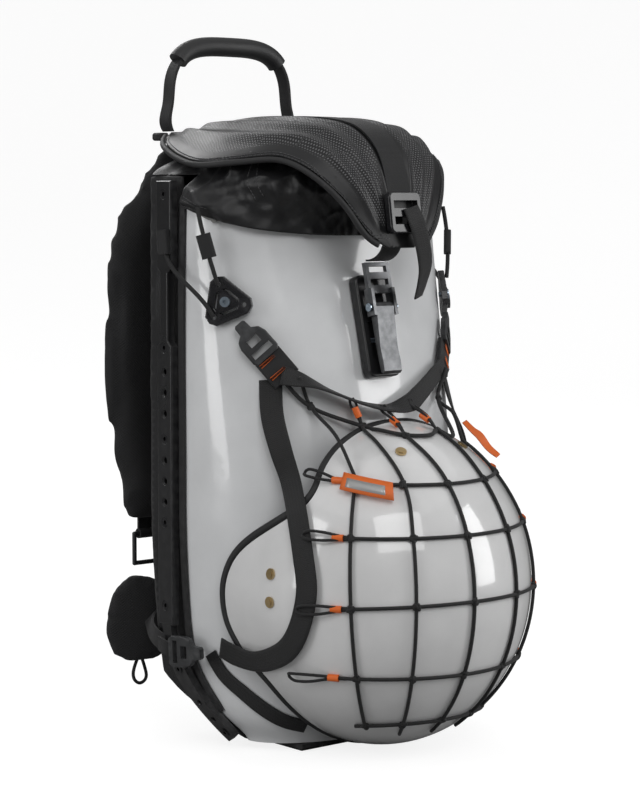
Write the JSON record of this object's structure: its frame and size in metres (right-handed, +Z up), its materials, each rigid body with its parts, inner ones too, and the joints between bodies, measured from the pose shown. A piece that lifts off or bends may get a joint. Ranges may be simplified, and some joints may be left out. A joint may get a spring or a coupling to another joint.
{
  "type": "ski backpack",
  "caption": "Ski backpack with a moulded hard shell, flip-up lid with lever clasp, padded harness and an elastic net that holds a helmet.",
  "frame": {"origin": "on the floor under the moulded base, on the pack's middle plane", "axes": "+Z up, -Y towards the hard shell's front, +Y towards the wearer, X across the pack"},
  "size_m": [0.2938, 0.3544, 0.6015],
  "materials": {
    "white_shell": "glossy moulded shell",
    "black_fabric": "woven pack cloth",
    "lid_foam": "moulded foam under open mesh",
    "pad_mesh": "spacer mesh over foam",
    "board": "frame sheet",
    "stay_metal": "satin",
    "webbing": "flat webbing",
    "rail_plastic": "satin moulded",
    "screw_black": "black",
    "screw_zinc": "zinc plated",
    "rubber": "matt",
    "trim_plastic": "glossy black",
    "hook_plastic": "dark grey",
    "cord": "braided elastic",
    "helmet_white": "glossy",
    "liner": "foam and cloth",
    "brass": "satin",
    "orange": "bright",
    "tag": "orange with a grey stripe",
    "clasp_metal": "cast satin",
    "grip": "grained sleeve"
  },
  "bodies": {
    "pack": {"anchor_tabs": "webbing", "back_pad": "pad_mesh", "bag_body": "black_fabric", "base_pad": "rubber", "catch_bar": "screw_zinc", "catch_plate": "rail_plastic", "collar": "black_fabric", "cord_sleeves": "webbing", "cord_stops": "orange", "frame_sheet": "board", "frame_stays": "stay_metal", "handle_yoke": "webbing", "hard_shell": "white_shell", "helmet_liner": "liner", "helmet_shell": "helmet_white", "helmet_snaps": "brass", "helmet_trim": "rubber", "hook_lower_left": "hook_plastic", "hook_lower_right": "hook_plastic", "hook_tabs": "webbing", "hook_upper_left": "hook_plastic", "hook_upper_right": "hook_plastic", "lumbar_pad": "pad_mesh", "net_band_left": "webbing", "net_band_right": "webbing", "net_band_top": "webbing", "net_mesh": "cord", "rail_left": "rail_plastic", "rail_right": "rail_plastic", "rail_screws": "screw_black", "reflective_tag": "tag", "ring_tabs": "webbing", "shell_edges": "rubber", "shoulder_strap_left": "pad_mesh", "shoulder_strap_right": "pad_mesh", "strap_webbing": "webbing", "tension_cords_left": "cord", "tension_cords_right": "cord", "triangle_left": "trim_plastic", "triangle_right": "trim_plastic", "triangle_screws": "screw_zinc", "wing_straps": "webbing"},
    "lid": {"lid_panel": "lid_foam", "lid_binding": "rubber", "lid_strap": "webbing", "lid_buckle": "trim_plastic", "clasp_strap": "webbing", "clasp_frame": "clasp_metal", "clasp_pin": "screw_zinc"},
    "lever": {"clasp_lever": "clasp_metal"},
    "handle": {"handle_webbing": "webbing", "handle_grip": "grip"},
    "slider_left": {"strap_slider_left": "hook_plastic"},
    "slider_right": {"strap_slider_right": "hook_plastic"},
    "wing_left": {"hip_wing_left": "pad_mesh"},
    "wing_right": {"hip_wing_right": "pad_mesh"},
    "ring_left": {"side_ring_left": "hook_plastic"},
    "ring_right": {"side_ring_right": "hook_plastic"}
  },
  "joints": [
    {"name": "lid_hinge", "type": "hinge", "parent": "pack", "child": "lid", "pos_m": [0, 0.092, 0.519], "axis": [-1, 0, 0], "range_deg": [0, 75]},
    {"name": "clasp_flip", "type": "hinge", "parent": "lid", "child": "lever", "pos_m": [0, -0.10391, 0.36989], "axis": [-1, 0, 0], "range_deg": [0, 105]},
    {"name": "handle_tilt", "type": "hinge", "parent": "pack", "child": "handle", "pos_m": [0, 0.103, 0.519], "axis": [-1, 0, 0], "range_deg": [0, 75]},
    {"name": "slider_left_slide", "type": "slide", "parent": "pack", "child": "slider_left", "axis": [0, 0, 1], "range_m": [-0.04, 0.04]},
    {"name": "slider_right_slide", "type": "slide", "parent": "pack", "child": "slider_right", "axis": [0, 0, 1], "range_m": [-0.04, 0.04]},
    {"name": "wing_left_fold", "type": "hinge", "parent": "pack", "child": "wing_left", "pos_m": [-0.089, 0.091, 0.108], "axis": [0, 0, 1], "range_deg": [-40, 30]},
    {"name": "wing_right_fold", "type": "hinge", "parent": "pack", "child": "wing_right", "pos_m": [0.089, 0.091, 0.108], "axis": [0, 0, -1], "range_deg": [-40, 30]},
    {"name": "ring_left_swing", "type": "hinge", "parent": "pack", "child": "ring_left", "pos_m": [-0.088, 0.108, 0.166], "axis": [1, 0, 0], "range_deg": [-8, 60]},
    {"name": "ring_right_swing", "type": "hinge", "parent": "pack", "child": "ring_right", "pos_m": [0.088, 0.108, 0.166], "axis": [1, 0, 0], "range_deg": [-8, 60]}
  ]
}
